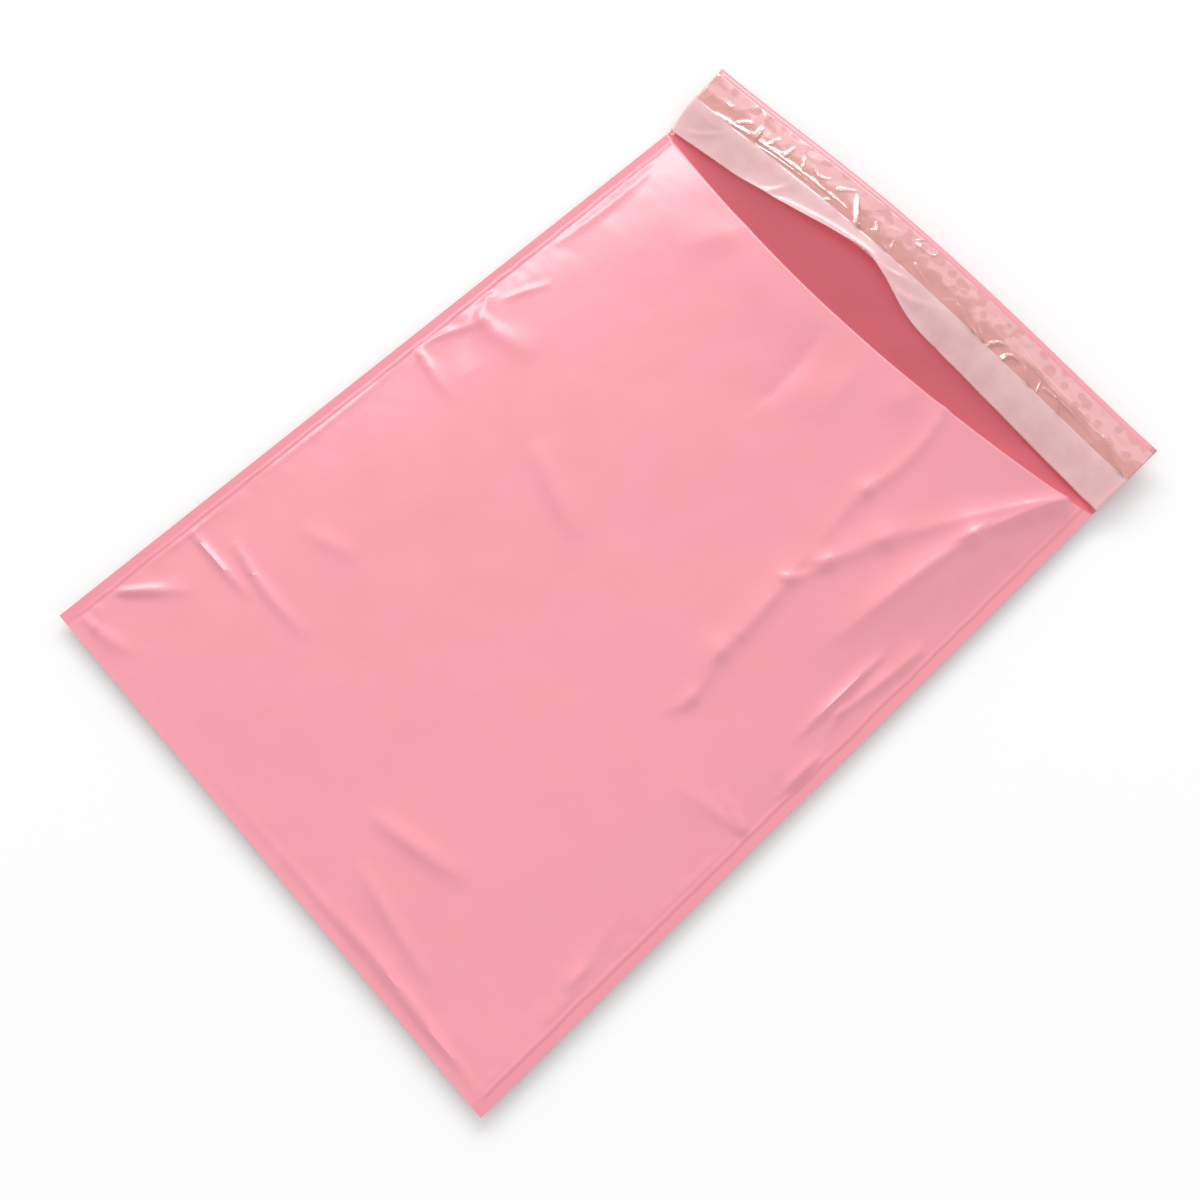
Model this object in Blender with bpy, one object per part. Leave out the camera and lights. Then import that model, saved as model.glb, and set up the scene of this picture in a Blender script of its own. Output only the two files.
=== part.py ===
"""Poly mailer bag: a welded film pouch with an adhesive flap, lying open on its back panel.

Three pieces: the film (front panel, back panel and flap in one web), the strip of hot-melt
adhesive on the flap, and the release liner over the strip.

Metres, +Z up. X runs across the bag and Y from the folded bottom towards the flap. The origin
is on the surface the bag lies on, under the centre of the pouch.
"""

import math

import bmesh
import bpy

# Pouch as the film is cut, and the flap's length over the table as it lies
WIDTH = 0.240
LENGTH = 0.320
FLAP = 0.0380

# Thickness of the solids that stand in for the films and the adhesive, and the gap between pieces
FILM = 0.0006
STRIP = 0.0005
LINER = 0.0004
GAP = 0.0003

# Welds: the bands down both sides, and the pressed fold along the bottom
SIDE_SEAL = 0.005
BOTTOM_FOLD = 0.003
WELD_GAP = 0.0003

# Air between the panels holds the seams clear of the table, and the back panel bulges down to it
SEAM_LIFT = 0.003
BULGE_REACH = 0.042
# Height of the front panel over the seams half way up the bag, and the extra height at the mouth
PUFF = 0.0065
MOUTH_PUFF = 0.0060
# How far the middle of the front panel's lip hangs back from the mouth line
LIP_SAG = 0.018

# The flap bows up: height of the adhesive band over the seams at its left end, middle and right end
BAND_LEFT = 0.0045
BAND_MIDDLE = 0.0108
BAND_RIGHT = 0.0030
# Where along the width (0 left to 1 right) the flap and the mouth are highest
CREST = 0.45
# The back panel leaves the table this far below the mouth line, and meets the seams' height over this length
MOUTH_RISE_BELOW = 0.012
MOUTH_RISE = 0.020
# It starts to rise into the flap this far below the mouth line, and is up this far past it
RISE_BELOW = 0.010
RISE_PAST = 0.018
# The flap's left end splays past the side of the pouch
SPLAY = 0.006

# Adhesive band and liner, measured from the mouth line along the flap
STRIP_FROM = 0.0185
STRIP_TO = 0.0348
LINER_FROM = 0.0012
LINER_TO = 0.0366
# The liner's free lower edge springs up and back: the full lift, and its share across the bag
LINER_LIFT = 0.0085
LINER_PULL = 0.0075
LIFT_SHARE = ((0.0, 0.0), (0.20, 0.30), (0.38, 0.82), (0.44, 1.0), (0.56, 0.33), (0.80, 0.20), (1.0, 0.0))

# Lattice of the film: columns across, rows up the pouch, rows along the flap
COLUMNS = 16
POUCH_ROWS = 18
FLAP_ROWS = 6

MOUTH_Y = LENGTH / 2
BOTTOM_Y = -LENGTH / 2


def clear_scene():
    for obj in list(bpy.data.objects):
        bpy.data.objects.remove(obj, do_unlink=True)


def make_material(name, colour, roughness, alpha=1.0):
    material = bpy.data.materials.new(name)
    material.use_nodes = True
    shader = material.node_tree.nodes["Principled BSDF"]
    shader.inputs["Base Color"].default_value = (*colour, 1.0)
    shader.inputs["Roughness"].default_value = roughness
    shader.inputs["Metallic"].default_value = 0.0
    shader.inputs["Alpha"].default_value = alpha
    return material


def add_object(name, bm, material):
    """Close the mesh into one outward-facing body and put it in the scene."""
    bmesh.ops.recalc_face_normals(bm, faces=bm.faces)
    mesh = bpy.data.meshes.new(name)
    bm.to_mesh(mesh)
    bm.free()
    mesh.materials.append(material)
    mesh.shade_smooth()
    mesh.set_sharp_from_angle(angle=math.radians(40))
    obj = bpy.data.objects.new(name, mesh)
    bpy.context.scene.collection.objects.link(obj)
    return obj


def smooth_step(value):
    value = min(max(value, 0.0), 1.0)
    return value * value * (3.0 - 2.0 * value)


def bow(across, height):
    """Arch from 0 at both sides to height at the crest."""
    half = CREST if across < CREST else 1.0 - CREST
    return height * math.cos(math.pi / 2 * (across - CREST) / half) ** 1.5


def table_gap(across, past_mouth):
    """Gap under the back panel: 0 where it bulges down to the table, the seam's height at its rim."""
    from_side = (0.5 - abs(across - 0.5)) * WIDTH
    from_bottom = LENGTH + past_mouth
    side = smooth_step(from_side / BULGE_REACH)
    bottom = smooth_step(from_bottom / BULGE_REACH)
    mouth = 1.0 - smooth_step((past_mouth + MOUTH_RISE_BELOW) / MOUTH_RISE)
    return SEAM_LIFT * (1.0 - side * bottom * mouth)


def flap_height(across, past_mouth):
    """Height of the film's underside over the seams, along the flap and the end of the back panel."""
    ends = BAND_LEFT + (BAND_RIGHT - BAND_LEFT) * across
    band = ends + bow(across, BAND_MIDDLE - (BAND_LEFT + BAND_RIGHT) / 2)
    start = -bow(across, RISE_BELOW)
    return band * smooth_step((past_mouth - start) / (RISE_PAST - start))


def splay(across, past_mouth):
    """Sideways shift of the flap's left end, growing towards its free edge."""
    return -SPLAY * max(past_mouth, 0.0) / FLAP * (1.0 - across) ** 3


def flap_point(across, past_mouth, above):
    x = (across - 0.5) * WIDTH + splay(across, past_mouth)
    z = table_gap(across, past_mouth) + flap_height(across, past_mouth) + above
    return (x, MOUTH_Y + past_mouth, z)


def puff(across, up):
    """Height of the front panel over the seams, 0 at the welds."""
    sides = 1.0 - abs(2.0 * across - 1.0) ** 3
    bottom = 1.0 - (1.0 - up) ** 3
    return sides * bottom * (PUFF + MOUTH_PUFF * up**4)


def columns():
    """Positions across the film, 0 to 1, with a column on each side seal's inner line."""
    seal = SIDE_SEAL / WIDTH
    inner = [seal + (1.0 - 2.0 * seal) * i / (COLUMNS - 2) for i in range(COLUMNS - 1)]
    return [0.0] + inner + [1.0]


def rows():
    """Positions up the pouch, 0 to 1, with a row on the bottom fold's inner line."""
    fold = BOTTOM_FOLD / LENGTH
    return [0.0] + [fold + (1.0 - fold) * i / (POUCH_ROWS - 1) for i in range(POUCH_ROWS)]


def back_point(across, along, above):
    """Point above the back panel's underside; along is measured from the folded bottom."""
    return flap_point(across, along - LENGTH, above)


def front_point(across, up, above):
    """Point above the front panel's underside; the lip hangs back between the corners."""
    sag = LIP_SAG * (1.0 - abs(2.0 * across - 1.0) ** 2.2) * up**5
    x = (across - 0.5) * WIDTH
    y = BOTTOM_Y + up * LENGTH - sag
    return (x, y, SEAM_LIFT + FILM + WELD_GAP + puff(across, up) + above)


def quad_skin(bm, lattice):
    """Faces over a list of rows of vertices."""
    for low, high in zip(lattice, lattice[1:]):
        for i in range(len(low) - 1):
            bm.faces.new((low[i], low[i + 1], high[i + 1], high[i]))


def join_edges(bm, first, second):
    """A ribbon of faces between two rows of vertices."""
    quad_skin(bm, [first, second])


def make_bag_film(material):
    """Front panel, back panel and flap as one closed wall of film, open at the mouth."""
    bm = bmesh.new()
    across = columns()
    up = rows()
    along = [v * LENGTH for v in up] + [LENGTH + FLAP * (j + 1) / FLAP_ROWS for j in range(FLAP_ROWS)]
    last = len(across) - 1
    mouth = len(up) - 1
    inner = range(1, last)

    outside = [[bm.verts.new(back_point(u, s, 0.0)) for u in across] for s in along]
    front = [[bm.verts.new(front_point(u, v, FILM)) for u in across] for v in up]
    # The pocket's floor and roof stop at the welds; past the mouth the floor is the flap's top
    floor = [[bm.verts.new(back_point(u, s, FILM)) for u in across[1:last]] for s in along[1:mouth + 1]]
    roof = [[bm.verts.new(front_point(u, v, 0.0)) for u in across[1:last]] for v in up[1:]]
    flap_left = [bm.verts.new(back_point(0.0, s, FILM)) for s in along[mouth:]]
    flap_right = [bm.verts.new(back_point(1.0, s, FILM)) for s in along[mouth:]]
    flap_top = [[flap_left[0], *floor[-1], flap_right[0]]]
    for j, s in enumerate(along[mouth + 1:], start=1):
        middle = [bm.verts.new(back_point(u, s, FILM)) for u in across[1:last]]
        flap_top.append([flap_left[j], *middle, flap_right[j]])

    quad_skin(bm, outside)
    quad_skin(bm, front)
    quad_skin(bm, floor)
    quad_skin(bm, roof)
    quad_skin(bm, flap_top)

    # Pocket: the ends of the welds inside, and the front panel's lip at the mouth
    join_edges(bm, floor[0], roof[0])
    join_edges(bm, [row[0] for row in floor], [row[0] for row in roof])
    join_edges(bm, [row[-1] for row in floor], [row[-1] for row in roof])
    join_edges(bm, [front[mouth][i] for i in inner], roof[-1])

    # Outside edges: the bottom fold, the two welded sides and the flap's rim
    join_edges(bm, outside[0], front[0])
    join_edges(bm, outside[-1], flap_top[-1])
    for side, rim in ((0, flap_left), (last, flap_right)):
        join_edges(bm, [row[side] for row in outside[:mouth]], [row[side] for row in front[:mouth]])
        bm.faces.new((outside[mouth - 1][side], outside[mouth][side], rim[0],
                      front[mouth][side], front[mouth - 1][side]))
        join_edges(bm, [row[side] for row in outside[mouth:]], rim)

    # The welds end at the mouth line, one film thickness above the flap
    bm.faces.new((front[mouth][0], front[mouth][1], roof[-1][0], floor[-1][0], flap_left[0]))
    bm.faces.new((front[mouth][last], front[mouth][last - 1], roof[-1][-1], floor[-1][-1], flap_right[0]))
    return add_object("bag_film", bm, material)


def make_sheet(name, material, point, thickness, across_cuts, along_cuts):
    """A closed sheet: a flat grid whose points are moved onto a surface, then thickened upwards."""
    bm = bmesh.new()
    bmesh.ops.create_grid(bm, x_segments=across_cuts, y_segments=along_cuts, size=0.5)
    for vertex in bm.verts:
        vertex.co = point(vertex.co.x + 0.5, vertex.co.y + 0.5)
    mesh = bpy.data.meshes.new(name)
    bm.to_mesh(mesh)
    bm.free()
    mesh.materials.append(material)
    mesh.shade_smooth()
    obj = bpy.data.objects.new(name, mesh)
    bpy.context.scene.collection.objects.link(obj)
    wall = obj.modifiers.new("thickness", "SOLIDIFY")
    wall.thickness = thickness
    wall.offset = 1.0
    return obj


def strip_point(across, along):
    """The adhesive lies on the flap, a gap above the film."""
    past = STRIP_FROM + (STRIP_TO - STRIP_FROM) * along
    return flap_point(across, past, FILM + GAP)


def liner_lift(across):
    """How far the liner's free edge springs up, 0 at the ends to 1 at its soft corner."""
    for (left, low), (right, high) in zip(LIFT_SHARE, LIFT_SHARE[1:]):
        if across <= right:
            return low + (high - low) * (across - left) / (right - left)
    return 0.0


def liner_point(across, along):
    """The liner covers the adhesive; below it the film is free and lifts in the middle."""
    past = LINER_FROM + (LINER_TO - LINER_FROM) * along
    x, y, z = flap_point(across, past, FILM + GAP + STRIP + GAP)
    free = max(STRIP_FROM - past, 0.0) / (STRIP_FROM - LINER_FROM)
    lift = liner_lift(across) * free**1.5
    level = flap_height(across, STRIP_FROM) - flap_height(across, past)
    return (x, y + LINER_PULL * lift, z + lift * (LINER_LIFT + level))


def main():
    clear_scene()
    pink_film = make_material("pink_film", (0.87, 0.32, 0.38), 0.35)
    hot_melt = make_material("hot_melt", (0.66, 0.42, 0.38), 0.15)
    milky_film = make_material("milky_film", (0.80, 0.62, 0.64), 0.25, alpha=0.6)
    make_bag_film(pink_film)
    make_sheet("adhesive_strip", hot_melt, strip_point, STRIP, COLUMNS, 2)
    make_sheet("release_liner", milky_film, liner_point, LINER, 2 * COLUMNS, 10)


main()
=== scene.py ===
import math

import bmesh
import bpy
import numpy as np
from mathutils import Matrix, Vector, noise
from mathutils.bvhtree import BVHTree


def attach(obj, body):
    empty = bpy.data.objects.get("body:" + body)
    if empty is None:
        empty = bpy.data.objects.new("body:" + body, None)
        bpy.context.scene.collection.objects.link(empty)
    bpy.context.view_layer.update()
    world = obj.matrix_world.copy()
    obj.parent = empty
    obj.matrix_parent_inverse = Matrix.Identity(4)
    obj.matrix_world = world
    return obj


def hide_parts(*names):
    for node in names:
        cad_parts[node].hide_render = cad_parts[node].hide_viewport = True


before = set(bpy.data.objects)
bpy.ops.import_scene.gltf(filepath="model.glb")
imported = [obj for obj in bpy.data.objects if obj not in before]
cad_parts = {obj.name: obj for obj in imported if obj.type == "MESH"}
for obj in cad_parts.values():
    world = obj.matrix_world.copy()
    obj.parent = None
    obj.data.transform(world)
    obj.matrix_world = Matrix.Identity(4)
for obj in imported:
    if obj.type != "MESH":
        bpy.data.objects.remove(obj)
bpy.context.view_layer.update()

# ---------------------------------------------------------------------------------------------
# The film: one web of pink polyethylene, folded along the bottom and welded down both sides.
# Its back panel runs on past the mouth as the flap. Trapped air puffs the front panel up, and
# the film hangs between the welds in soft folds and small puckers.
# ---------------------------------------------------------------------------------------------

POUCH_WIDTH, POUCH_LENGTH = 0.240, 0.320
MOUTH_Y = POUCH_LENGTH / 2
FLAP_LENGTH = 0.0380
FILM = 0.0002
WELD_THICK = 0.0005
SEAM_LIFT = 0.003
BULGE_REACH = 0.042  # how far in from the seams the back panel comes down to the table
PUFF, MOUTH_PUFF = 0.0065, 0.0060
LIP_SAG = 0.018
SIDE_WELD = 0.005
BOTTOM_WELD = 0.003
MM = 0.001

front_columns, front_rows, flap_rows = 184, 232, 22
COARSER = 4  # the back panel has one column or row to this many of the front panel


def smooth_step(value):
    value = np.clip(value, 0.0, 1.0)
    return value * value * (3.0 - 2.0 * value)


def bow(across, height, crest=0.45):
    """Arch over the width of the bag, from 0 at both sides to height at the crest."""
    half = np.where(across < crest, crest, 1.0 - crest)
    return height * np.cos(math.pi / 2 * (across - crest) / half).clip(0, 1) ** 1.5


def table_gap(across, past_mouth):
    """The back panel bulges down to the table, and its rim is held up at the seams' height."""
    side = smooth_step((0.5 - np.abs(across - 0.5)) * POUCH_WIDTH / BULGE_REACH)
    bottom = smooth_step((POUCH_LENGTH + past_mouth) / BULGE_REACH)
    mouth = 1.0 - smooth_step((past_mouth + 0.012) / 0.020)
    return SEAM_LIFT * (1.0 - side * bottom * mouth)


def flap_height(across, past_mouth):
    """Over the seams' height, the back panel rises into the flap, which bows up in the middle."""
    ends = 0.0045 - 0.0015 * across
    band = ends + bow(across, 0.00705)
    start = -bow(across, 0.010)
    return band * smooth_step((past_mouth - start) / (0.018 - start))


def splay(across, past_mouth):
    """The flap's left end leans out past the side of the pouch."""
    return -0.006 * np.maximum(past_mouth, 0.0) / FLAP_LENGTH * (1.0 - across) ** 3


def fold(x, y, start, bend, end, widths, heights, skew=1.0, sharp=0.0):
    """Height of one fold in the film. The points are millimetres from the left side and the
    bottom; the fold follows a bent line through them. widths: at its start and end; heights: at
    its start, middle and end; skew scales the flank on the right of that line; sharp creases it."""
    t = np.linspace(0.0, 1.0, 15)[:, None]
    line = (1 - t) ** 2 * np.array(start) + 2 * t * (1 - t) * np.array(bend) + t**2 * np.array(end)
    line = line * MM - np.array([POUCH_WIDTH, POUCH_LENGTH]) / 2
    nearest = np.full(x.shape, 1e9)
    along = np.zeros(x.shape)
    side = np.zeros(x.shape)
    for k, (a, b) in enumerate(zip(line, line[1:])):
        run = b - a
        part = ((x - a[0]) * run[0] + (y - a[1]) * run[1]) / (run @ run)
        part = part.clip(0, 1)
        dx, dy = x - a[0] - part * run[0], y - a[1] - part * run[1]
        distance = np.hypot(dx, dy)
        closer = distance < nearest
        nearest = np.where(closer, distance, nearest)
        along = np.where(closer, (k + part) / (len(line) - 1), along)
        side = np.where(closer, np.sign(run[0] * dy - run[1] * dx), side)
    width = (widths[0] + (widths[1] - widths[0]) * along) * MM
    width = np.where(side < 0, width * skew, width)
    height = ((1 - along) * (1 - 2 * along) * heights[0] + 4 * along * (1 - along) * heights[1]
              + along * (2 * along - 1) * heights[2]) * MM
    round_crest = np.exp(-((nearest / width) ** 2))
    creased = np.exp(-1.6 * nearest / width)
    return height * (round_crest + (creased - round_crest) * sharp)


def ripple(x, y, scale, seed):
    """Smooth random undulation from -1 to 1; scale is the size of a swell in metres."""
    points = zip((x / scale).ravel(), (y / scale).ravel())
    values = [noise.noise((px + 31.7 * seed, py - 17.3 * seed, 5.1 * seed)) for px, py in points]
    return np.array(values).reshape(x.shape)


# Folds of the front panel: start, bend and end, widths, heights, and skew and sharpness
front_folds = [
    # under the lip, left to right
    ((60, 300), (52, 290), (45, 277), (6, 9), (0.5, 1.0, 0.0), 1.4, 0.3),
    ((60, 300), (75, 293), (99, 274), (7, 14), (0.4, 0.9, 0.0), 0.7, 0.2),
    ((114, 296), (119, 279), (120, 259), (6.0, 4.5), (-0.2, -1.5, -1.3), 2.2, 0.9),
    ((136, 290), (138, 278), (140, 262), (4, 8), (0.4, 0.9, 0.0), 1.6, 0.3),
    ((158, 300), (157, 295), (154, 284), (4, 6), (0.3, 0.7, 0.0), 1.4, 0.2),
    ((171, 306), (179, 284), (174, 258), (2.0, 3.0), (0.7, 1.4, 1.3), 1.8, 0.7),
    ((174, 258), (173, 242), (177, 224), (3.0, 3.4), (1.3, 1.0, 0.3), 1.8, 0.6),
    # the fan of folds that runs down from the right end of the mouth
    ((224, 296), (218, 262), (208, 205), (7, 9), (0.6, 1.8, 0.3), 1.0, 0.0),
    ((229, 315), (221, 297), (214, 275), (1.6, 3.6), (1.2, 2.6, 2.4), 2.0, 0.7),
    ((214, 275), (209, 245), (206, 202), (3.6, 4.0), (2.4, 2.4, 0.2), 2.0, 0.6),
    ((228, 314), (212, 288), (192, 248), (2.4, 4.0), (0.9, 1.3, 1.3), 1.8, 0.5),
    ((231, 313), (237, 308), (240, 296), (1.6, 1.8), (0.6, 0.9, 0.3), 1.0, 0.5),
    ((239, 296), (237, 275), (239, 254), (1.4, 1.6), (0.7, 0.9, 0.2), 1.0, 0.5),
    # the long fold down the right third, which kinks near its middle
    ((192, 248), (188, 236), (182, 224), (4.0, 2.8), (1.3, 1.5, 1.6), 1.8, 0.6),
    ((176, 209), (180, 209), (184, 226), (2.0, 3.6), (1.2, 1.0, 1.2), 0.8, 0.6),
    ((178, 212), (181, 190), (181, 172), (3.0, 3.2), (1.5, 1.9, 1.4), 2.4, 0.6),
    ((181, 172), (184, 160), (186, 152), (3.2, 2.4), (1.4, 1.2, 1.0), 2.0, 0.6),
    ((186, 152), (186, 146), (181, 140), (2.4, 2.0), (1.0, 0.8, 0.0), 1.6, 0.5),
    ((184, 183), (181, 181), (178, 181), (0.9, 0.9), (0.2, 0.4, 0.0), 1.0, 0.5),
    # right edge
    ((223, 216), (222, 194), (223, 170), (1.3, 1.2), (0.6, 2.2, 0.3), 2.4, 0.7),
    ((231, 228), (230, 208), (227, 188), (2.0, 1.8), (0.8, 1.6, 0.9), 1.8, 0.6),
    ((226, 190), (228, 185), (230, 179), (1.6, 1.6), (0.7, 0.8, 0.0), 1.5, 0.5),
    ((237, 198), (236, 187), (236, 175), (1.2, 1.2), (0.4, 0.8, 0.3), 1.2, 0.5),
    ((237, 173), (231, 167), (235, 158), (1.4, 2.0), (1.0, 1.7, 1.3), 1.8, 0.6),
    ((235, 158), (234, 153), (234, 149), (2.0, 1.6), (1.3, 1.0, 0.2), 1.8, 0.5),
    ((236, 133), (228, 133), (216, 137), (1.2, 2.6), (1.2, 1.0, 0.0), 1.0, 0.7),
    ((236, 132), (221, 130), (200, 124), (1.3, 5.0), (1.0, 0.8, 0.0), 1.0, 0.5),
    ((237, 135), (237, 142), (238, 149), (1.3, 1.3), (0.8, 0.7, 0.2), 1.0, 0.5),
    ((237, 130), (233, 110), (237, 86), (1.3, 1.8), (0.9, 1.1, 0.7), 1.6, 0.5),
    ((237, 86), (239, 76), (238, 60), (1.6, 1.3), (0.7, 0.5, 0.1), 1.4, 0.4),
    ((229, 60), (228, 54), (230, 48), (1.8, 2.2), (0.2, 1.0, 0.0), 1.6, 0.4),
    ((224, 78), (227, 60), (233, 40), (4.0, 3.2), (0.2, 0.8, 0.4), 1.5, 0.2),
    ((233, 12), (239, 10), (237, 36), (1.2, 1.8), (0.8, 1.1, 0.4), 0.8, 0.5),
    # left edge
    ((8, 209), (12, 205), (18, 196), (2.2, 4.0), (1.8, 1.4, 0.4), 1.5, 0.6),
    ((12, 200), (26, 196), (44, 206), (3.0, 8.0), (1.0, 1.1, 0.0), 0.7, 0.3),
    ((14, 190), (20, 184), (30, 182), (5.0, 7.0), (-0.9, -0.7, 0.0), 1.0, 0.0),
    ((5, 173), (8, 186), (16, 199), (1.6, 3.0), (0.6, 0.9, 0.4), 0.8, 0.4),
    ((14, 213), (17, 222), (23, 232), (1.6, 2.4), (0.2, 0.7, 0.0), 0.8, 0.4),
    ((6, 172), (18, 168), (38, 167), (1.6, 5.0), (1.7, 1.1, 0.0), 0.8, 0.6),
    ((70, 178), (92, 168), (112, 162), (6, 7), (0.0, 1.5, 0.1), 0.6, 0.2),
    ((9, 300), (12, 275), (8, 245), (2, 2), (0.3, 0.8, 0.1), 1.4, 0.3),
    ((6, 160), (8, 120), (6, 90), (1.6, 1.6), (0.3, 0.6, 0.2), 1.2, 0.3),
    # lower left
    ((34, 88), (48, 92), (62, 97), (4.0, 5.0), (0.0, 0.8, 0.0), 0.7, 0.2),
    ((23, 66), (44, 61), (73, 63), (1.8, 4.0), (0.9, 1.7, 0.0), 0.7, 0.6),
    ((8, 57), (26, 56), (46, 57), (1.5, 3.0), (1.2, 1.6, 0.0), 0.7, 0.6),
    ((5, 34), (8, 54), (7, 75), (1.2, 1.2), (0.5, 0.7, 0.2), 1.0, 0.4),
    ((8, 22), (14, 29), (28, 44), (1.6, 5.0), (1.2, 1.7, 0.0), 0.6, 0.5),
    ((7, 6), (18, 7), (34, 12), (1.8, 4.0), (0.9, 1.2, 0.0), 0.8, 0.4),
    ((4, 12), (12, 14), (14, 4), (1.2, 1.2), (0.5, 0.8, 0.4), 1.0, 0.5),
    # lower right, running into the corner
    ((136, 38), (158, 42), (180, 48), (4.0, 5.0), (0.1, 1.6, 0.0), 0.7, 0.2),
    ((146, 24), (166, 20), (192, 16), (3.6, 3.0), (0.1, 1.4, 0.5), 0.7, 0.3),
    ((150, 8), (196, 7), (238, 3), (3.6, 1.6), (0.3, 2.2, 1.2), 0.7, 0.3),
    ((92, 4), (130, 5), (170, 6), (1.6, 2.0), (0.2, 0.9, 0.5), 0.8, 0.3),
]

# Folds of the back panel that show inside the mouth
inside_folds = [
    ((152, 330), (138, 322), (118, 306), (5, 7), (0.2, 1.6, 0.3), 0.6, 0.1),
    ((212, 326), (204, 319), (190, 306), (4, 6), (0.2, 1.2, 0.3), 0.6, 0.1),
    ((70, 322), (88, 318), (110, 308), (6, 9), (0.2, 0.9, 0.2), 1.0, 0.0),
]


def sum_of_folds(x, y, folds):
    total = np.zeros(x.shape)
    for start, bend, end, widths, heights, skew, sharp in folds:
        total += fold(x, y, start, bend, end, widths, heights, skew, sharp)
    return total


def front_surface(across, up):
    """The puffed front panel: flat in the welds, deepest at the mouth, where its lip sags back."""
    sag = LIP_SAG * (1.0 - np.abs(2.0 * across - 1.0) ** 2.3) * up**5
    x = (across - 0.5) * POUCH_WIDTH
    y = up * POUCH_LENGTH - MOUTH_Y - sag
    from_side = (POUCH_WIDTH / 2 - np.abs(x) - SIDE_WELD) / (POUCH_WIDTH / 2 - SIDE_WELD)
    from_bottom = (up * POUCH_LENGTH - BOTTOM_WELD) / (POUCH_LENGTH - BOTTOM_WELD)
    side_rise = 1.0 - (1.0 - from_side.clip(0, 1)) ** 3
    end_rise = 1.0 - (1.0 - from_bottom.clip(0, 1)) ** 4
    puff = side_rise * end_rise * (PUFF + MOUTH_PUFF * up**4)
    free = smooth_step(from_side * 12) * smooth_step(from_bottom * 25)
    swell = 0.0007 * ripple(x, y, 0.050, 1) + 0.00022 * ripple(x, y, 0.017, 2)
    edge = np.exp(-(from_side.clip(0, 1) * 0.115 / 0.010))
    edge = edge + np.exp(-(from_bottom.clip(0, 1) * 0.317 / 0.008))
    pucker = 0.00035 * ripple(x * 0.45, y * 1.0, 0.0050, 3) * edge.clip(0, 1)
    folds = sum_of_folds(x, y, front_folds)
    weld = SEAM_LIFT + WELD_THICK
    taut = smooth_step(from_side * 40) * smooth_step(from_bottom * 90)
    z = weld + puff + free * swell * (1.0 - 0.7 * up**16) + taut * (folds + pucker)
    return x, y, np.maximum(z, weld)


def back_surface(across, along):
    """The back panel and the flap; along is measured from the bottom."""
    past = along - POUCH_LENGTH
    x = (across - 0.5) * POUCH_WIDTH + splay(across, past)
    y = along - MOUTH_Y
    inner = smooth_step((POUCH_WIDTH / 2 - np.abs(x)) / 0.015 - 0.4) * smooth_step(along / 0.012 - 0.4)
    wave = 0.0005 * (ripple(x, y, 0.045, 4) + 0.6).clip(0, 2) * inner * smooth_step(-past / 0.02)
    z = table_gap(across, past) + flap_height(across, past)
    return x, y, z + wave + sum_of_folds(x, y, inside_folds) * inner


def lattice(surface, across, along):
    """Points of a surface on a grid, as rows of (x, y, z)."""
    grid_across, grid_along = np.meshgrid(across, along)
    x, y, z = surface(grid_across, grid_along)
    return np.stack([x, y, z], axis=-1)


def sheet_faces(first, columns, rows, flip):
    """Faces over a grid of points numbered row by row from first."""
    faces = []
    for j in range(rows):
        for i in range(columns):
            a = first + j * (columns + 1) + i
            quad = (a, a + 1, a + columns + 2, a + columns + 1)
            faces.append(quad[::-1] if flip else quad)
    return faces


def add_mesh(name, points, faces, smooth_angle=math.radians(60)):
    mesh = bpy.data.meshes.new(name)
    mesh.from_pydata([tuple(p) for p in points], [], faces)
    mesh.shade_smooth()
    mesh.set_sharp_from_angle(angle=smooth_angle)
    piece = bpy.data.objects.new(name, mesh)
    bpy.context.scene.collection.objects.link(piece)
    return piece


def apply_modifiers(piece):
    bpy.ops.object.select_all(action="DESELECT")
    bpy.context.view_layer.objects.active = piece
    piece.select_set(True)
    for modifier in list(piece.modifiers):
        bpy.ops.object.modifier_apply(modifier=modifier.name)
    piece.select_set(False)


across_lines = np.linspace(0, 1, front_columns + 1)
across_lines -= 0.35 * np.sin(2 * math.pi * across_lines) / (2 * math.pi)  # closer at the sides
up_lines = np.linspace(0, 1, front_rows + 1)
flap_lines = POUCH_LENGTH + np.linspace(0, FLAP_LENGTH, flap_rows + 1)[1:]
front_points = lattice(front_surface, across_lines, up_lines)
back_points = lattice(back_surface, across_lines[::COARSER],
                      np.concatenate([POUCH_LENGTH * up_lines[::COARSER], flap_lines]))
back_columns, back_rows = front_columns // COARSER, front_rows // COARSER

first_back = front_points.shape[0] * front_points.shape[1]
front_id = np.arange(first_back).reshape(front_rows + 1, front_columns + 1)
back_id = first_back + np.arange(back_points.shape[0] * back_points.shape[1])
back_id = back_id.reshape(back_points.shape[0], back_points.shape[1])

film_faces = sheet_faces(0, front_columns, front_rows, flip=False)
film_faces += sheet_faces(first_back, back_columns, back_rows + flap_rows, flip=True)
# The welded sides and the folded bottom close the pouch
for j in range(back_rows):
    for side, flip in ((0, True), (-1, False)):
        edge = [int(k) for k in front_id[COARSER * j:COARSER * (j + 1) + 1, side]]
        wall = [int(back_id[j, side]), int(back_id[j + 1, side]), *edge[::-1]]
        film_faces.append(wall[::-1] if flip else wall)
for i in range(back_columns):
    edge = [int(k) for k in front_id[0, COARSER * i:COARSER * (i + 1) + 1]]
    film_faces.append([int(back_id[0, i]), int(back_id[0, i + 1]), *edge[::-1]])

def node(tree, kind, x, y, **values):
    made = tree.nodes.new(kind)
    made.location = (x, y)
    for name, value in values.items():
        setattr(made, name, value)
    return made


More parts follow.
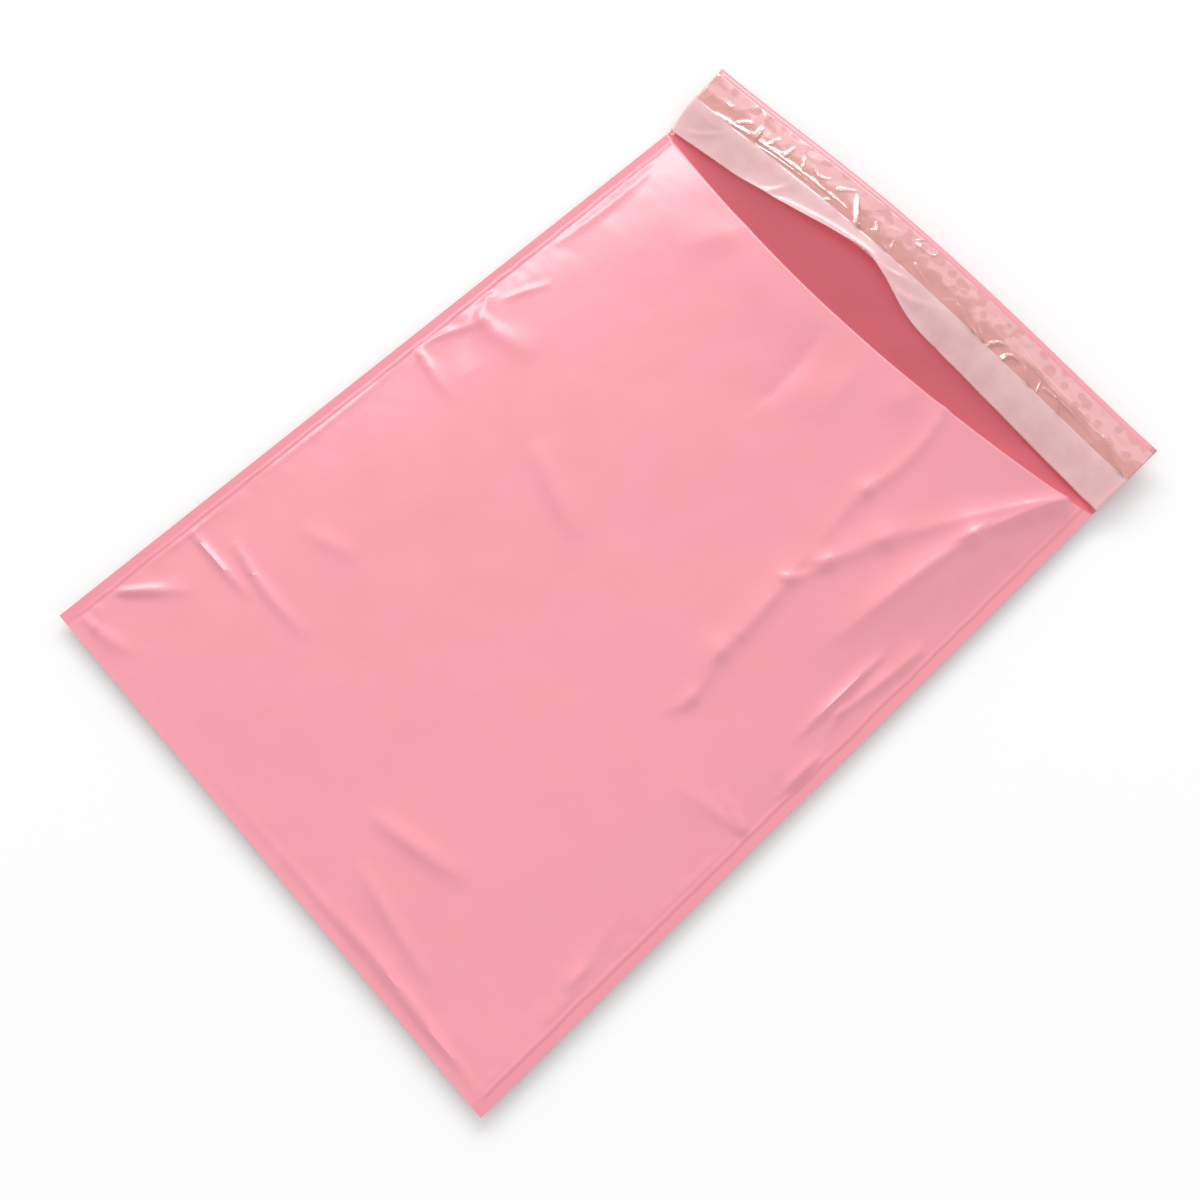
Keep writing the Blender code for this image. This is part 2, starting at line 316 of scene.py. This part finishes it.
def make_material(name, roughness, specular=0.5, coat=0.0, coat_roughness=0.05):
    material = bpy.data.materials.new(name)
    material.use_nodes = True
    shader = material.node_tree.nodes["Principled BSDF"]
    shader.inputs["Roughness"].default_value = roughness
    shader.inputs["Specular IOR Level"].default_value = specular
    shader.inputs["Coat Weight"].default_value = coat
    shader.inputs["Coat Roughness"].default_value = coat_roughness
    return material, material.node_tree, shader


def film_surface_group():
    """Film texture shared by the plastics: cloudy mottling of the colour and a fine orange peel."""
    group = bpy.data.node_groups.new("film_surface", "ShaderNodeTree")
    face = group.interface
    face.new_socket("Cloud Size", in_out="INPUT", socket_type="NodeSocketFloat").default_value = 60.0
    face.new_socket("Peel Size", in_out="INPUT", socket_type="NodeSocketFloat").default_value = 900.0
    face.new_socket("Cloud", in_out="OUTPUT", socket_type="NodeSocketFloat")
    face.new_socket("Peel", in_out="OUTPUT", socket_type="NodeSocketFloat")
    ins = node(group, "NodeGroupInput", -700, 0)
    outs = node(group, "NodeGroupOutput", 300, 0)
    place = node(group, "ShaderNodeTexCoord", -700, -250)
    cloud = node(group, "ShaderNodeTexNoise", -350, 150)
    cloud.inputs["Detail"].default_value = 3.0
    peel = node(group, "ShaderNodeTexNoise", -350, -150)
    peel.inputs["Detail"].default_value = 1.0
    group.links.new(place.outputs["Object"], cloud.inputs["Vector"])
    group.links.new(place.outputs["Object"], peel.inputs["Vector"])
    group.links.new(ins.outputs["Cloud Size"], cloud.inputs["Scale"])
    group.links.new(ins.outputs["Peel Size"], peel.inputs["Scale"])
    group.links.new(cloud.outputs["Fac"], outs.inputs["Cloud"])
    group.links.new(peel.outputs["Fac"], outs.inputs["Peel"])
    return group


film_surface = film_surface_group()


def mix_colour(tree, x, y, factor, first, second):
    """Mix two colours; each is a tuple or an output socket, and so is the factor."""
    mix = node(tree, "ShaderNodeMix", x, y, data_type="RGBA")
    for socket, value in ((mix.inputs[0], factor), (mix.inputs[6], first), (mix.inputs[7], second)):
        if isinstance(value, bpy.types.NodeSocket):
            tree.links.new(value, socket)
        elif isinstance(value, tuple):
            socket.default_value = (*value, 1.0)
        else:
            socket.default_value = value
    return mix.outputs[2]


def maths(tree, x, y, operation, first, second=0.0, clamp=False):
    made = node(tree, "ShaderNodeMath", x, y, operation=operation, use_clamp=clamp)
    for socket, value in zip(made.inputs, (first, second)):
        if isinstance(value, bpy.types.NodeSocket):
            tree.links.new(value, socket)
        else:
            socket.default_value = value
    return made.outputs[0]


def ramp(tree, x, y, value, low, high):
    """0 below low, 1 above high, smooth between."""
    made = node(tree, "ShaderNodeMapRange", x, y, interpolation_type="SMOOTHSTEP")
    tree.links.new(value, made.inputs["Value"])
    made.inputs["From Min"].default_value = low
    made.inputs["From Max"].default_value = high
    return made.outputs["Result"]


def object_axes(tree, x, y):
    place = node(tree, "ShaderNodeTexCoord", x, y)
    split = node(tree, "ShaderNodeSeparateXYZ", x + 180, y)
    tree.links.new(place.outputs["Object"], split.inputs["Vector"])
    return place.outputs["Object"], split.outputs


def bump(tree, x, y, height, distance, strength=1.0):
    made = node(tree, "ShaderNodeBump", x, y)
    made.inputs["Distance"].default_value = distance
    made.inputs["Strength"].default_value = strength
    tree.links.new(height, made.inputs["Height"])
    return made.outputs["Normal"]


def bead(tree, x, y, value, centre):
    """A low rounded line where value equals centre, in metres."""
    away = maths(tree, x, y, "ABSOLUTE", maths(tree, x - 150, y, "SUBTRACT", value, centre))
    return ramp(tree, x + 150, y, away, 0.0014, 0.0)


PINK = (0.865, 0.303, 0.362)
PINK_LIGHT = (0.890, 0.336, 0.395)
PINK_DEEP = (0.760, 0.215, 0.275)
# Painted shade: a deeper, redder pink for the shade and interreflected light inside the pouch; the film
# itself is the plain pink
PINK_PAINTED_SHADE_INSIDE = (0.900, 0.158, 0.208)


def film_material(name, inside):
    """Satin pink film: a little deeper along the welds. Inside the pouch, and just past the mouth, a deeper,
    redder pink is painted in as the shade and interreflected light there.
    """
    material, tree, shader = make_material(name, 0.36, coat=0.6, coat_roughness=0.22)
    texture = node(tree, "ShaderNodeGroup", -900, 200, node_tree=film_surface)
    _, axes = object_axes(tree, -1200, -100)
    colour = mix_colour(tree, -600, 200, texture.outputs["Cloud"], PINK, PINK_LIGHT)
    if inside:
        # Painted shade inside the pouch and under the liner's free edge, fading to the plain film colour a
        # little past the mouth
        past_mouth = ramp(tree, -800, -100, axes[1], MOUTH_Y + 0.014, MOUTH_Y + 0.026)
        colour = mix_colour(tree, -400, 200, past_mouth, PINK_PAINTED_SHADE_INSIDE, colour)
    else:
        from_middle = maths(tree, -900, -100, "ABSOLUTE", axes[0])
        weld = ramp(tree, -700, -100, from_middle, POUCH_WIDTH / 2 - 0.0058, POUCH_WIDTH / 2 - 0.0044)
        weld = maths(tree, -550, -100, "MULTIPLY", weld, 0.35)
        colour = mix_colour(tree, -400, 200, weld, colour, PINK_DEEP)
    tree.links.new(colour, shader.inputs["Base Color"])
    rough = maths(tree, -600, 0, "MULTIPLY_ADD", texture.outputs["Cloud"], 0.10)
    rough.node.inputs[2].default_value = 0.31
    tree.links.new(rough, shader.inputs["Roughness"])
    peel = bump(tree, -300, -300, texture.outputs["Peel"], 0.00005)
    if not inside:
        wander = maths(tree, -900, -500, "MULTIPLY", texture.outputs["Cloud"], 0.0016)
        side_bead = bead(tree, -700, -500, maths(tree, -750, -450, "ADD", from_middle, wander),
                         POUCH_WIDTH / 2 - SIDE_WELD + 0.0012)
        above_bottom = ramp(tree, -700, -800, axes[1], BOTTOM_WELD - MOUTH_Y, BOTTOM_WELD - MOUTH_Y + 0.004)
        side_bead = maths(tree, -500, -600, "MULTIPLY", side_bead, above_bottom)
        raised = bump(tree, -100, -300, side_bead, 0.0003)
        tree.links.new(peel, raised.node.inputs["Normal"])
        peel = raised
    tree.links.new(peel, shader.inputs["Normal"])
    return material


film_points = np.concatenate([front_points.reshape(-1, 3), back_points.reshape(-1, 3)])
film = add_mesh("film", film_points, film_faces)
film.data.materials.append(film_material("pink_film_outside", inside=False))
film.data.materials.append(film_material("pink_film_inside_painted_shade", inside=True))
wall = film.modifiers.new("film thickness", "SOLIDIFY")
wall.thickness = FILM
wall.offset = -1.0
wall.material_offset = 1
apply_modifiers(film)

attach(film, "root")
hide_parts("bag_film")

# ---------------------------------------------------------------------------------------------
# The adhesive: a band of clear, tan-tinted hot melt laid along the flap. The liner pressed on it
# has left it crinkled into flat facets, with creases between them that catch the light.
# ---------------------------------------------------------------------------------------------

STRIP_FROM, STRIP_TO = 0.0185, 0.0348
STRIP_LIFT = 0.00075
strip_cells = (66, 5)

# Creases of the adhesive, given like the folds of the front panel
strip_creases = [
    # the long double ridge of the left half
    ((1, 333), (8, 338), (30, 340.8), (1.2, 1.2), (0.3, 0.4, 0.4), 0.6, 0.5),
    ((30, 340.8), (55, 342.3), (83, 342.3), (1.2, 0.9), (0.4, 0.45, 0.2), 0.6, 0.5),
    ((30, 338), (48, 341), (70, 340.6), (0.7, 0.7), (0.2, 0.3, 0.1), 0.7, 0.5),
    ((13, 337.5), (16, 336), (19, 334.5), (1.0, 1.4), (0.4, 0.6, 0.3), 1.6, 0.3),
    # crinkles above it
    ((27, 346), (24, 343), (22, 342), (0.5, 0.6), (0.1, 0.4, 0.3), 1.5, 0.3),
    ((32, 348), (32.5, 344.5), (33, 341.5), (0.3, 0.8), (0.1, 0.7, 0.8), 2.4, 0.3),
    ((24, 354.5), (30, 353), (31.5, 347), (0.6, 0.6), (0.2, 0.4, 0.2), 1.6, 0.4),
    ((41, 349), (40, 346), (39.5, 343.5), (0.4, 0.6), (0.1, 0.4, 0.5), 2.0, 0.3),
    ((48, 350), (48, 346.6), (48, 344), (0.4, 0.6), (0.1, 0.4, 0.5), 2.0, 0.3),
    ((54, 349), (56.5, 346), (58, 344), (0.4, 0.6), (0.1, 0.5, 0.4), 2.0, 0.3),
    ((60, 347.5), (66, 343), (69, 349), (0.7, 0.5), (0.4, 0.5, 0.1), 0.7, 0.3),
    ((81, 352), (78, 349), (75, 346.5), (0.5, 0.6), (0.1, 0.5, 0.4), 1.6, 0.3),
    # the two big glossy creases of the middle, and the smaller ones right of them
    ((83, 350), (87, 345), (92, 339.5), (0.42, 0.94), (0.54, 1.49, 1.49), 2.8, 0.3),
    ((97, 345.5), (101, 341), (107, 338.8), (0.51, 0.85), (0.68, 1.49, 0.94), 2.8, 0.3),
    ((107, 344.5), (108, 343), (109.5, 340), (0.4, 0.4), (0.3, 0.4, 0.2), 1.6, 0.3),
    ((120, 343.5), (123, 341.5), (129, 341), (0.6, 0.6), (0.3, 0.4, 0.2), 1.6, 0.4),
    ((113, 352), (117, 358), (123, 354.3), (0.5, 0.5), (0.3, 0.4, 0.3), 0.7, 0.4),
    ((123, 354.3), (124, 350), (114, 351), (0.5, 0.5), (0.3, 0.4, 0.3), 1.4, 0.4),
    # creases of the right half
    ((145, 343), (150, 340.5), (157, 338.3), (0.59, 0.85), (0.68, 1.49, 1.08), 2.8, 0.3),
    ((154, 343.5), (158, 341), (162, 338.3), (0.42, 0.68), (0.41, 1.22, 1.08), 2.4, 0.3),
    ((169, 344.5), (165, 343), (164.5, 338.5), (0.42, 0.51), (0.27, 0.94, 0.94), 2.0, 0.3),
    ((177, 343.5), (172, 343.5), (172.5, 338.8), (0.42, 0.59), (0.27, 0.94, 0.94), 2.2, 0.3),
    ((180, 344), (183, 341.5), (187, 338.5), (0.51, 0.77), (0.81, 1.35, 0.94), 2.6, 0.3),
    ((189, 344), (190, 341.5), (191, 339), (0.34, 0.34), (0.27, 0.68, 0.54), 2.0, 0.3),
    ((192, 342.5), (201, 344), (211, 343.2), (0.8, 0.6), (0.5, 0.45, 0.2), 0.7, 0.4),
    ((198, 343.5), (201, 341), (203, 338.5), (0.42, 0.68), (0.68, 1.22, 0.81), 2.6, 0.3),
    ((212, 344), (216, 342.5), (221, 342), (0.5, 0.5), (0.2, 0.4, 0.2), 1.6, 0.3),
    ((223, 345), (229, 342), (238, 338.2), (0.68, 0.85), (0.81, 1.62, 1.08), 2.6, 0.3),
    ((160, 351), (183, 345.3), (219, 346.8), (0.7, 0.7), (0.2, 0.3, 0.2), 0.7, 0.4),
    ((165, 349), (185, 343.9), (222, 345.2), (0.7, 0.7), (0.2, 0.3, 0.2), 0.7, 0.4),
]

rng = np.random.default_rng(7)

bpy.ops.object.select_all(action="DESELECT")
bpy.ops.mesh.primitive_grid_add(x_subdivisions=strip_cells[0], y_subdivisions=strip_cells[1], size=1.0)
adhesive = bpy.context.object
adhesive.name = "adhesive"
strip_mesh = adhesive.data
facets = bmesh.new()
facets.from_mesh(strip_mesh)
for vertex in facets.verts:
    across, along = vertex.co.x + 0.5, vertex.co.y + 0.5
    shift_x, shift_y, height = rng.uniform(-1, 1, 3)
    if 0.001 < across < 0.999:
        across += 0.42 * shift_x / strip_cells[0]
    if 0.001 < along < 0.999:
        along += 0.40 * shift_y / strip_cells[1]
    vertex.co = (across, along, 0.00020 * height)
bmesh.ops.triangulate(facets, faces=facets.faces, quad_method="BEAUTY")
bmesh.ops.subdivide_edges(facets, edges=facets.edges, cuts=6, use_grid_fill=True)
across, along, crinkle = np.array([vertex.co for vertex in facets.verts]).T
past = STRIP_FROM + (STRIP_TO - STRIP_FROM) * along
flat_x = (across - 0.5) * POUCH_WIDTH
crinkle = crinkle + sum_of_folds(flat_x, MOUTH_Y + past, strip_creases)
height = SEAM_LIFT + flap_height(across, past) + FILM + STRIP_LIFT + crinkle
for vertex, x, y, z in zip(facets.verts, flat_x * 0.998 + splay(across, past), MOUTH_Y + past, height):
    vertex.co = (x, y, z)
facets.to_mesh(strip_mesh)
facets.free()
strip_mesh.shade_smooth()
strip_mesh.set_sharp_from_angle(angle=math.radians(9))
body = adhesive.modifiers.new("thickness", "SOLIDIFY")
body.thickness = 0.0002
body.offset = -1.0
apply_modifiers(adhesive)

material, tree, shader = make_material("hot_melt", 0.20, specular=0.8, coat=1.0, coat_roughness=0.06)
shader.inputs["Coat IOR"].default_value = 1.7
place, axes = object_axes(tree, -1600, 0)
tint = node(tree, "ShaderNodeTexNoise", -1200, 400)
tint.inputs["Scale"].default_value = 70.0
tree.links.new(place, tint.inputs["Vector"])
cells = node(tree, "ShaderNodeTexVoronoi", -1200, 150, feature="SMOOTH_F1")
cells.inputs["Scale"].default_value = 210.0
tree.links.new(place, cells.inputs["Vector"])
wander = maths(tree, -1200, -100, "MULTIPLY_ADD", tint.outputs["Fac"], 0.012)
tree.links.new(axes[1], wander.node.inputs[2])
upper = ramp(tree, -1000, -100, wander, MOUTH_Y + 0.0305, MOUTH_Y + 0.0335)
tan = mix_colour(tree, -800, 400, tint.outputs["Fac"], (0.58, 0.205, 0.175), (0.72, 0.30, 0.26))
cell = ramp(tree, -1000, 150, cells.outputs["Distance"], 0.30, 0.42)
pale = mix_colour(tree, -800, 150, cell, (0.74, 0.31, 0.31), (0.84, 0.42, 0.42))
tree.links.new(mix_colour(tree, -500, 300, upper, tan, pale), shader.inputs["Base Color"])
strip_mesh.materials.append(material)

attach(adhesive, "root")
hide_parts("adhesive_strip")

# ---------------------------------------------------------------------------------------------
# The release liner: a strip of thin milky film over the adhesive. It looks clear where it wets
# the adhesive; below the band it hangs free, and its lower edge springs up in the middle.
# ---------------------------------------------------------------------------------------------

LINER_FROM, LINER_TO = 0.0012, 0.0366
LINER_THICK = 0.00012
LINER_GAP, LINER_LIFT, LINER_PULL = 0.0012, 0.0085, 0.0075
DRAPE_GAP = 0.0002
liner_columns, liner_rows = 240, 40
# Creases of the free part, given like the folds of the front panel
liner_folds = [
    ((104, 321), (112, 330), (126, 337), (1.4, 1.6), (0.6, 0.9, 0.4), 1.6, 0.4),
    ((116, 321), (128, 327), (142, 337), (1.8, 2.2), (0.5, 1.0, 0.4), 1.6, 0.3),
    ((150, 322), (146, 330), (138, 337), (1.6, 2.0), (0.5, 0.9, 0.3), 1.6, 0.4),
    ((6, 336), (13, 330), (20, 336), (1.0, 1.0), (0.4, 0.6, 0.2), 0.8, 0.4),
    ((22, 335), (14, 326), (5, 324), (1.2, 1.2), (0.4, 0.6, 0.2), 0.8, 0.4),
    ((52, 322), (60, 330), (58, 338), (1.6, 1.6), (0.3, 0.6, 0.2), 1.4, 0.2),
    ((236, 322), (228, 329), (226, 337), (1.4, 1.6), (0.5, 0.8, 0.3), 1.4, 0.3),
]
lift_share = ((0.0, 0.20, 0.38, 0.44, 0.56, 0.80, 1.0), (0.0, 0.36, 0.84, 1.0, 0.33, 0.20, 0.0))


def liner_lift(across):
    """How far the free edge springs up, 0 at the ends to 1 at its soft corner."""
    reach = np.linspace(-0.03, 0.03, 7)
    return np.mean([np.interp(across + r, *lift_share) for r in reach], axis=0)


def liner_surface(across, along):
    past = LINER_FROM + (LINER_TO - LINER_FROM) * along
    flat_x = (across - 0.5) * POUCH_WIDTH
    x = flat_x + splay(across, past)
    free = np.maximum(STRIP_FROM - past, 0.0) / (STRIP_FROM - LINER_FROM)
    lift = liner_lift(across) * free**1.5
    start = table_gap(across, past) + flap_height(across, past)
    level = SEAM_LIFT + flap_height(across, STRIP_FROM * np.ones_like(past)) - start
    y = MOUTH_Y + past + LINER_PULL * lift
    z = start + FILM + LINER_GAP + lift * (LINER_LIFT + level)
    wave = 0.0005 * ripple(x, y, 0.014, 6) + sum_of_folds(flat_x, MOUTH_Y + past, liner_folds)
    return x, y, z + wave * free**0.5


liner_points = lattice(liner_surface, np.linspace(0, 1, liner_columns + 1),
                       np.linspace(0, 1, liner_rows + 1))
below = BVHTree.FromPolygons([v.co.copy() for v in strip_mesh.vertices],
                             [tuple(p.vertices) for p in strip_mesh.polygons])
for row in liner_points:
    for point in row:
        hit = below.ray_cast(Vector((point[0], point[1], 0.1)), Vector((0, 0, -1)))[0]
        if hit is not None:
            point[2] = hit.z + DRAPE_GAP

liner = add_mesh("liner", liner_points.reshape(-1, 3), sheet_faces(0, liner_columns, liner_rows, flip=False))
wall = liner.modifiers.new("film thickness", "SOLIDIFY")
wall.thickness = LINER_THICK
wall.offset = 1.0
apply_modifiers(liner)

material, tree, shader = make_material("milky_film", 0.24, coat=0.8, coat_roughness=0.12)
texture = node(tree, "ShaderNodeGroup", -1200, 300, node_tree=film_surface)
texture.inputs["Cloud Size"].default_value = 90.0
_, axes = object_axes(tree, -1400, -100)
colour = mix_colour(tree, -600, 300, texture.outputs["Cloud"], (0.93, 0.58, 0.60), (0.97, 0.71, 0.72))
tree.links.new(colour, shader.inputs["Base Color"])
wet = ramp(tree, -1000, -100, axes[1], MOUTH_Y + STRIP_FROM - 0.0003, MOUTH_Y + STRIP_FROM + 0.0003)
milky = maths(tree, -800, 100, "MULTIPLY_ADD", texture.outputs["Cloud"], 0.24)
milky.node.inputs[2].default_value = 0.46
clear = maths(tree, -800, -250, "SUBTRACT", 1.0, wet)
milky = maths(tree, -600, 0, "MULTIPLY", milky, clear)
alpha = maths(tree, -400, 0, "ADD", milky, 0.03, clamp=True)
tree.links.new(alpha, shader.inputs["Alpha"])
liner.data.materials.append(material)

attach(liner, "root")
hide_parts("release_liner")

# ---------------------------------------------------------------------------------------------
# Studio: a white table under one long softbox, low beyond the bag's left side and flap, with a
# white room round it, and the camera above the bag's right side.
# ---------------------------------------------------------------------------------------------

bpy.ops.mesh.primitive_plane_add(size=6.0, location=(0, 0, -0.0002))
table = bpy.context.object
table.name = "table"
material, tree, shader = make_material("white_table", 0.9, specular=0.1)
shader.inputs["Base Color"].default_value = (0.93, 0.93, 0.93, 1.0)
table.data.materials.append(material)

world = bpy.data.worlds.new("white_room")
world.use_nodes = True
world.node_tree.nodes["Background"].inputs["Color"].default_value = (1.0, 1.0, 1.0, 1.0)
world.node_tree.nodes["Background"].inputs["Strength"].default_value = 0.80
bpy.context.scene.world = world

lamp_data = bpy.data.lights.new("softbox", "AREA")
lamp_data.shape = "RECTANGLE"
lamp_data.size = 5.0
lamp_data.size_y = 1.1
lamp_data.energy = 112.0
lamp = bpy.data.objects.new("softbox", lamp_data)
bpy.context.scene.collection.objects.link(lamp)
lamp.location = (-2.6, 2.2, 1.8)
lamp.rotation_euler = (-lamp.location).to_track_quat("-Z", "Y").to_euler()

camera_data = bpy.data.cameras.new("camera")
camera_data.sensor_width = 36.0
camera_data.lens = 35.55
camera_data.clip_start = 0.01
camera = bpy.data.objects.new("camera", camera_data)
bpy.context.scene.collection.objects.link(camera)
look = Vector((-0.20061, 0.20717, -0.95751)).normalized()
right = look.cross(Vector((-0.70249, 0.65082, 0.28800))).normalized()
top = right.cross(look)
turn = Matrix((right, top, -look)).transposed().to_4x4()
camera.matrix_world = Matrix.Translation((0.10486, -0.09981, 0.43345 + SEAM_LIFT)) @ turn
bpy.context.scene.camera = camera
bpy.context.scene.view_settings.view_transform = "Standard"
